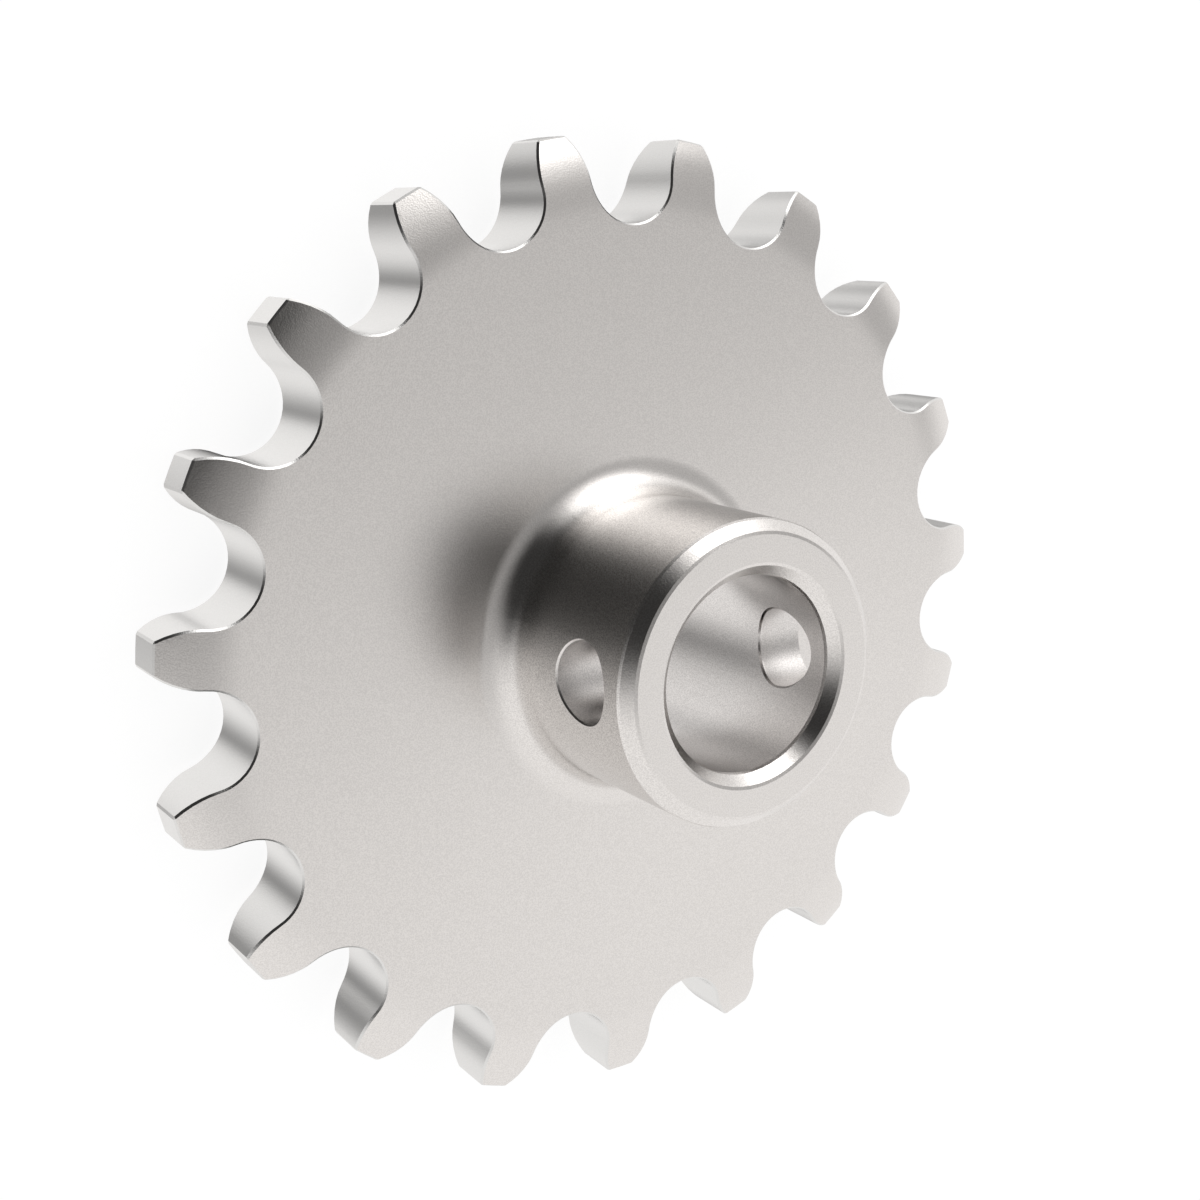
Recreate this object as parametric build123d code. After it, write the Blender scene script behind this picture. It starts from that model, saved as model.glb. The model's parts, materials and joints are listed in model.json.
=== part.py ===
from build123d import *
from math import cos, hypot, pi, radians, sin, sqrt, tan
import os

# A roller chain sprocket in one piece of steel: a toothed plate with a hub on its front face, bored right
# through, with a hole for a pin or bolt across the hub. Sizes are in millimetres and angles in degrees.
# The origin is where the bore's axis meets the plate's flat back face. +Z runs along the bore towards the
# hub's end, one tooth points along +Y, and the cross hole runs along X.

# The chain
chain_pitch = 12.7
roller_diameter = 7.92

# The teeth, seen along the bore
tooth_count = 19
roller_clearance = 0.04
seat_half_angle = 82.5
flank_radius = 6.0
tip_height = 3.81

# The plate, and the curved relief that narrows each tooth from both faces
plate_thickness = 7.3
relief_depth = 1.65
relief_radius = 12.7

# The hub
hub_diameter = 25.0
hub_projection = 17.0
hub_chamfer = 1.0
root_fillet = 3.0

# The bore, chamfered at both ends
bore_diameter = 16.0
bore_chamfer = 1.0

# The cross hole, with its axis set back from the hub's end
cross_hole_diameter = 6.6
cross_hole_setback = 6.25

# The small flat left where a sharp edge is deburred
edge_break = 0.15

# A roller's centre runs on the pitch circle and its lowest point on the root circle. The tips stand
# tip_height above the straight line between two neighbouring rollers.
tooth_angle = 360 / tooth_count
pitch_radius = chain_pitch / 2 / sin(pi / tooth_count)
root_radius = pitch_radius - roller_diameter / 2
tip_radius = chain_pitch / 2 / tan(pi / tooth_count) + tip_height
seat_radius = roller_diameter / 2 + roller_clearance

hub_radius = hub_diameter / 2
bore_radius = bore_diameter / 2
overall_length = plate_thickness + hub_projection
cross_hole_height = overall_length - cross_hole_setback

# A cutting tool reaches this many times as far as what it cuts through, so that it comes out clear
tool_reach = 1.3


def turned_section():
    """Half of the section that is turned: the plate with its relieved rim, the hub and the bore."""
    bore_mouth = bore_radius + bore_chamfer
    hub_edge = hub_radius - hub_chamfer
    relief_run = sqrt(relief_radius**2 - (relief_radius - relief_depth) ** 2)
    relief_start = tip_radius - relief_run
    front = plate_thickness
    top = overall_length
    with BuildSketch(Plane.XZ) as section:
        with BuildLine():
            Line((bore_mouth, 0), (relief_start, 0))
            TangentArc((relief_start, 0), (tip_radius, relief_depth), tangent=(1, 0))
            Line((tip_radius, relief_depth), (tip_radius, front - relief_depth))
            TangentArc((relief_start, front), (tip_radius, front - relief_depth), tangent=(1, 0))
            Line((relief_start, front), (hub_radius + root_fillet, front))
            TangentArc((hub_radius + root_fillet, front), (hub_radius, front + root_fillet), tangent=(-1, 0))
            Polyline(
                (hub_radius, front + root_fillet),
                (hub_radius, top - hub_chamfer),
                (hub_edge, top),
                (bore_mouth, top),
                (bore_radius, top - bore_chamfer),
                (bore_radius, bore_chamfer),
                (bore_mouth, 0),
            )
        make_face()
    return section.sketch


def turned_blank():
    """The turned part, with the edges of its three chamfers broken."""
    turned = revolve(turned_section(), Axis.Z)
    edges = turned.faces().filter_by(GeomType.CONE).edges().filter_by(GeomType.CIRCLE)
    return turned.chamfer(edge_break, None, edges)


def gap_outline():
    """One tooth gap, open outwards along +X: the roller's seat, and a convex flank on each side of it."""
    angle = radians(seat_half_angle)
    to_seat_end = Vector(-cos(angle), sin(angle))
    along_flank = Vector(sin(angle), cos(angle))
    seat_centre = Vector(root_radius + seat_radius, 0)
    seat_end = seat_centre + to_seat_end * seat_radius
    flank_centre = seat_centre + to_seat_end * (seat_radius + flank_radius)
    outwards = flank_centre.normalized()
    crest = flank_centre + outwards * flank_radius
    with BuildSketch() as outline:
        with BuildLine():
            ThreePointArc((seat_end.X, -seat_end.Y), (root_radius, 0), seat_end)
            flank = [
                TangentArc(seat_end, crest, tangent=along_flank),
                Line(crest, outwards * tip_radius * tool_reach),
            ]
            mirror(flank, about=Plane.XZ)
            far_end = flank[-1] @ 1
            Line(far_end, (far_end.X, -far_end.Y))
        make_face()
    return outline.sketch


def with_teeth(blank):
    """Cuts the gaps into the turned blank and breaks the corners of every tooth."""
    cutter = extrude(gap_outline(), plate_thickness * tool_reach, both=True)
    toothed = blank - PolarLocations(0, tooth_count, start_angle=90 + tooth_angle / 2) * cutter
    walls = toothed.faces().filter_by(GeomType.CYLINDER).filter_by(stands_off_axis)
    lands = walls.group_by(Face.radius)[-1]
    corners = walls.edges().filter_by(Axis.Z, reverse=True) + lands.edges().filter_by(Axis.Z)
    return toothed.chamfer(edge_break, None, corners)


def stands_off_axis(wall):
    """True for the walls round the teeth, whose middles lie outside the hub."""
    middle = wall.center()
    return hypot(middle.X, middle.Y) > hub_radius


def with_cross_hole(sprocket):
    """Drills through both walls of the hub and breaks the hole's edges outside and in the bore."""
    drill = Cylinder(cross_hole_diameter / 2, hub_diameter * tool_reach, rotation=(0, 90, 0))
    drilled = sprocket - Pos(0, 0, cross_hole_height) * drill
    walls = drilled.faces().filter_by(GeomType.CYLINDER).filter_by(runs_along_x)
    rims = walls.edges().filter_by(GeomType.LINE, reverse=True)
    return drilled.chamfer(edge_break, None, rims)


def runs_along_x(wall):
    """True for the walls of the cross hole."""
    return wall.axis_of_rotation.is_parallel(Axis.X)


sprocket = with_cross_hole(with_teeth(turned_blank()))

os.makedirs("parts", exist_ok=True)
export_step(sprocket, "parts/sprocket.step")
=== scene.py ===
import json
from math import cos, radians, sin

import bpy
from mathutils import Matrix, Quaternion, Vector


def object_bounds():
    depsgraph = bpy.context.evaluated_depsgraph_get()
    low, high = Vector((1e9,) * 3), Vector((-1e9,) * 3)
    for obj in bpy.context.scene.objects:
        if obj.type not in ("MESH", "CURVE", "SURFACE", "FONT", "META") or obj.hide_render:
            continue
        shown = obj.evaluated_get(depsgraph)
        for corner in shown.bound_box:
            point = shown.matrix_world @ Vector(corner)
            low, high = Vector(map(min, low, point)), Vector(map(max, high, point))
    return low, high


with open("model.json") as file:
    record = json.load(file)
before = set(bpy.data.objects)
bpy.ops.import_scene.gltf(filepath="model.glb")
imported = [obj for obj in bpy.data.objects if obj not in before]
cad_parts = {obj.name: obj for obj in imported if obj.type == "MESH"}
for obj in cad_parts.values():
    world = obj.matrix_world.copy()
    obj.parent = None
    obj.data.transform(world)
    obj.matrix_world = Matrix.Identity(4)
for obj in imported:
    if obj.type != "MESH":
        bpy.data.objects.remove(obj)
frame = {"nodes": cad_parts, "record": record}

# The sprocket lies on its back face on a white floor, with the top of the photograph towards -Y. Lengths
# are in metres. Directions are given as azimuth from +X towards +Y and as elevation above the floor, both
# in degrees.

MM = 0.001

cad_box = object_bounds()
scene = bpy.context.scene
scene.view_settings.view_transform = "Standard"


class Shader:
    """The emptied node tree of a world or a material, with short ways to add nodes to it."""

    def __init__(self, owner):
        owner.use_nodes = True
        self.tree = owner.node_tree
        self.tree.nodes.clear()

    def node(self, kind, inputs, **settings):
        """Adds a node and gives back its outputs. Each input is a plain value or another node's output."""
        added = self.tree.nodes.new("ShaderNode" + kind)
        for name, value in settings.items():
            setattr(added, name, value)
        for name, given in inputs.items():
            if isinstance(given, bpy.types.NodeSocket):
                self.tree.links.new(given, added.inputs[name])
            else:
                added.inputs[name].default_value = given
        return added.outputs

    def math(self, operation, first, second=0):
        """The result of one operation on one or two numbers."""
        return self.node("Math", {0: first, 1: second}, operation=operation)["Value"]

    def mix(self, factor, first, second, kind="FLOAT"):
        """A mix of two numbers, or of two colours where the kind is RGBA."""
        return self.node("Mix", {"Factor": factor, "A": first, "B": second}, data_type=kind)["Result"]

    def remap(self, value, source, target, **settings):
        """A number carried over from one range to another, and held within it."""
        ranges = {"From Min": source[0], "From Max": source[1], "To Min": target[0], "To Max": target[1]}
        return self.node("MapRange", {"Value": value, **ranges}, **settings)["Result"]

    def along_z(self, vector):
        """How far a vector reaches along Z."""
        return self.node("SeparateXYZ", {"Vector": vector})["Z"]

    def away_from_z(self, vector):
        """How far a vector reaches away from the Z axis."""
        sideways = self.node("VectorMath", {0: vector, 1: (1, 1, 0)}, operation="MULTIPLY")["Vector"]
        return self.node("VectorMath", {0: sideways}, operation="LENGTH")["Value"]


# The camera

# It stands where the photograph was taken from.
camera_data = bpy.data.cameras.new("camera")
camera_data.lens = 50
camera_data.sensor_width = 36
camera_data.clip_start = 0.005
camera = bpy.data.objects.new("camera", camera_data)
camera.rotation_mode = "QUATERNION"
camera.location = (0.0800687, -0.0349899, 0.1220866)
camera.rotation_quaternion = Quaternion((0.0326418, 0.2884503, -0.1073245, 0.9509008))
scene.collection.objects.link(camera)
scene.camera = camera


# The light

# The light is soft and comes from all round. The metal sees a faintly warm white surround with soft-edged
# panels in it, which give the steel its contrast, and the camera sees plain white. All of it is so broad
# that the renderer needs no map of where it is bright.
SOFT_LIGHT = 0.85
WHITE = 1.0
PLAIN_TINT = (1, 1, 1, 1)
WARM_TINT = (1.02, 1, 0.985, 1)

world = bpy.data.worlds.new("studio")
scene.world = world
world.cycles.sampling_method = "NONE"
studio = Shader(world)
direction = studio.node("TexCoord", {})["Generated"]


def with_panel(surround, towards, size, brightness, softness, roll=0):
    """Lays an oval panel over the surround, towards an azimuth and elevation. Its size is the two angles
    that it covers, and its softness is the share of its radius over which it fades out."""
    azimuth, elevation = map(radians, towards)
    width, height = map(radians, size)
    way = Vector((cos(azimuth) * cos(elevation), sin(azimuth) * cos(elevation), sin(elevation)))
    level = Vector((-sin(azimuth), cos(azimuth), 0))
    facing = Matrix((level, way.cross(level), way)).transposed() @ Matrix.Rotation(radians(roll), 3, "Z")
    stretch = (sin(width / 2), sin(height / 2), 1)
    placing = {"Vector": direction, "Rotation": facing.to_euler(), "Scale": stretch}
    local = studio.node("Mapping", placing, vector_type="TEXTURE")["Vector"]
    from_middle = studio.away_from_z(local)
    fade = studio.remap(from_middle, (1, 1 - softness), (0, 1), interpolation_type="SMOOTHSTEP")
    in_front = studio.math("GREATER_THAN", studio.along_z(local), 0)
    cover = studio.math("MULTIPLY", fade, in_front)
    return studio.mix(cover, surround, brightness)


# A grey ceiling, a large dark flag, a bright softbox, and smaller flags and cards. Each lies over the last.
ceiling = with_panel(WHITE, towards=(-82, 66), size=(137, 179), roll=-39, brightness=0.33, softness=0.64)
side_flag = with_panel(ceiling, towards=(-44, 17), size=(179, 179), brightness=0.04, softness=0.43)
softbox = with_panel(side_flag, towards=(-108, 24), size=(74, 114), roll=30, brightness=2.87, softness=1)
low_flag = with_panel(softbox, towards=(-6, -56), size=(60, 156), roll=-1, brightness=0.3, softness=1)
low_strip = with_panel(low_flag, towards=(-160, -60), size=(179, 62), roll=16, brightness=0, softness=0.89)
low_card = with_panel(low_strip, towards=(-109, -69), size=(33, 85), roll=58, brightness=1.1, softness=0.38)
surround = with_panel(low_card, towards=(-160, 35), size=(57, 63), brightness=0.54, softness=0.44)

path = studio.node("LightPath", {})
for_metal = studio.math("MAXIMUM", path["Is Glossy Ray"], path["Is Transmission Ray"])
tint = studio.mix(for_metal, PLAIN_TINT, WARM_TINT, "RGBA")
on_object = studio.mix(for_metal, SOFT_LIGHT, surround)
strength = studio.mix(path["Is Camera Ray"], on_object, WHITE)
background = studio.node("Background", {"Color": tint, "Strength": strength})["Background"]
studio.node("OutputWorld", {"Surface": background})


# The floor

# A white floor that keeps a faint shadow of the sprocket. The metal sees the white surround in its place.
FLOOR_SIZE = 6
FLOOR_DROP = 0.2 * MM
FLOOR_COLOUR = (0.2, 0.2, 0.2, 1)
FLOOR_GLOW = 0.85

bpy.ops.mesh.primitive_plane_add(size=FLOOR_SIZE, location=(0, 0, -FLOOR_DROP))
floor = bpy.context.object
floor.name = "floor"
floor.visible_glossy = False
white_floor = bpy.data.materials.new("white_floor")
white_floor.cycles.emission_sampling = "NONE"
ground = Shader(white_floor)
shaded = ground.node("BsdfDiffuse", {"Color": FLOOR_COLOUR})["BSDF"]
glow = ground.node("Emission", {"Strength": FLOOR_GLOW})["Emission"]
lit = ground.node("AddShader", {0: shaded, 1: glow})["Shader"]
ground.node("OutputMaterial", {"Surface": lit})
floor.data.materials.append(white_floor)


# The steel

# The turned faces are finely blasted: a grain runs through their colour and their surface, and shows most
# on the round wall of the hub. The bore and the cross hole are painted a little darker, as painted shade in
# these hollows. The walls and lands of the teeth are cut clean and look more neutral. Faint clouds vary the
# gloss, and the cross hole is duller.

# The darkest and the palest colour of each kind of surface, and how much of that range its grain takes up
BLASTED = ((0.533, 0.52, 0.51, 1), (0.92, 0.9, 0.88, 1))
# The bores' colours are darker than the turned faces', as painted shade in the hollows.
BORED_WITH_PAINTED_SHADE = ((0.488, 0.477, 0.469, 1), (0.851, 0.83, 0.817, 1))
CUT = ((0.515, 0.52, 0.515, 1), (0.9, 0.9, 0.895, 1))
GRAIN_ON_HUB = 0.75
GRAIN_ON_FACES = 0.25
GRAIN_IN_BORES = 0.5
GRAIN_ON_CUTS = 0.1

# The patterns. Most of a noise lies within NOISE_RANGE.
NOISE_RANGE = (0.3, 0.7)
GRAIN_PER_METRE = 9500
GRAIN_DETAIL = 0
GRAIN_RANGE = (-0.5, 0.5)
GRAIN_DEPTH = 0.003 * MM
CLOUDS_PER_METRE = 90
CLOUDS_DETAIL = 3

# The shade where the grain is at its middle, and how rough the steel is
MIDDLE_SHADE = 0.5
ROUGHNESS_RANGE = (0.28, 0.3)
DRILLED_ROUGHNESS = 0.4
EDGE_TINT = (1, 1, 1, 1)

# Where the bores and the teeth are. The bore and the cross hole each take in a part of the broken edges at
# their ends, and the cross hole's inner rim goes with the bore. The teeth lie outside half the overall
# radius, and the Z part of the normal is under WALL_UPRIGHT on their walls.
BORE_MARGIN = 0.1 * MM
HOLE_MARGIN = 0.05 * MM
RIM_WIDTH = 0.3 * MM
WALL_UPRIGHT = 0.8
mounts = {mount["name"]: mount for mount in frame["record"]["mounts"]}
bore_size = mounts["bore"]["dims"]
hole_size = mounts["cross_hole"]["dims"]
bore_middle = mounts["bore"]["pos_m"][2]
bore_half_length = bore_size["length_mm"] * MM / 2 + BORE_MARGIN
hole_from_radius = bore_size["r_mm"] * MM + RIM_WIDTH
hole_to_radius = hole_size["length_mm"] * MM / 2 + HOLE_MARGIN
teeth_from_radius = cad_box[1].x / 2

steel = bpy.data.materials.new("blasted_steel")
metal = Shader(steel)
place = metal.node("TexCoord", {})
radius = metal.away_from_z(place["Object"])
height = metal.along_z(place["Object"])
upright = metal.math("ABSOLUTE", metal.along_z(place["Normal"]))

from_bore_middle = metal.math("ABSOLUTE", metal.math("SUBTRACT", height, bore_middle))
along_bore = metal.math("LESS_THAN", from_bore_middle, bore_half_length)
inside_hub = metal.math("LESS_THAN", radius, hole_to_radius)
# The bores, whose colour is painted darker as painted shade in the hollows
bores_painted_darker = metal.math("MULTIPLY", inside_hub, along_bore)
past_bore = metal.math("GREATER_THAN", radius, hole_from_radius)
drilled = metal.math("MULTIPLY", bores_painted_darker, past_bore)
on_teeth = metal.math("GREATER_THAN", radius, teeth_from_radius)
on_wall = metal.math("LESS_THAN", upright, WALL_UPRIGHT)
cut = metal.math("MULTIPLY", on_teeth, on_wall)


def noise(per_metre, detail, target):
    """A noise pattern on the part, as a number within the target range."""
    pattern = metal.node("TexNoise", {"Vector": place["Object"], "Scale": per_metre, "Detail": detail})
    return metal.remap(pattern["Fac"], NOISE_RANGE, target)


def by_surface(turned, in_bores, on_cuts, kind="FLOAT"):
    """Picks one of three values: for the turned faces, the bores, or the cut walls of the teeth."""
    uncut = metal.mix(bores_painted_darker, turned, in_bores, kind)
    return metal.mix(cut, uncut, on_cuts, kind)


grain = noise(GRAIN_PER_METRE, GRAIN_DETAIL, GRAIN_RANGE)
grain_on_turned = metal.remap(upright, (0, 1), (GRAIN_ON_HUB, GRAIN_ON_FACES))
amount = by_surface(grain_on_turned, GRAIN_IN_BORES, GRAIN_ON_CUTS)
shade = metal.math("ADD", metal.math("MULTIPLY", grain, amount), MIDDLE_SHADE)
# The bores' colours carry the painted shade of the hollows.
colours = [metal.mix(shade, dark, pale, "RGBA") for dark, pale in (BLASTED, BORED_WITH_PAINTED_SHADE, CUT)]
clouds = noise(CLOUDS_PER_METRE, CLOUDS_DETAIL, ROUGHNESS_RANGE)
bumps = metal.node("Bump", {"Strength": 1, "Distance": GRAIN_DEPTH, "Height": grain})
finish = {
    "Base Color": by_surface(*colours, "RGBA"),
    "Edge Tint": EDGE_TINT,
    "Roughness": metal.mix(drilled, clouds, DRILLED_ROUGHNESS),
    "Normal": bumps["Normal"],
}
surface = metal.node("BsdfMetallic", finish, distribution="BECKMANN")["BSDF"]
metal.node("OutputMaterial", {"Surface": surface})

sprocket = frame["nodes"]["sprocket"]
sprocket.data.materials.clear()
sprocket.data.materials.append(steel)

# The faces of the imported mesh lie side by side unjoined. They are joined, and parted again only at real
# edges, so that no seam shows on a smooth surface.
JOINING_DISTANCE = 0.001 * MM
EDGE_ANGLE = 15

joined = sprocket.modifiers.new("joined", "WELD")
joined.merge_threshold = JOINING_DISTANCE
parted = sprocket.modifiers.new("parted", "EDGE_SPLIT")
parted.split_angle = radians(EDGE_ANGLE)
parted.use_edge_sharp = False
shading = sprocket.modifiers.new("shading", "WEIGHTED_NORMAL")
shading.mode = "CORNER_ANGLE"
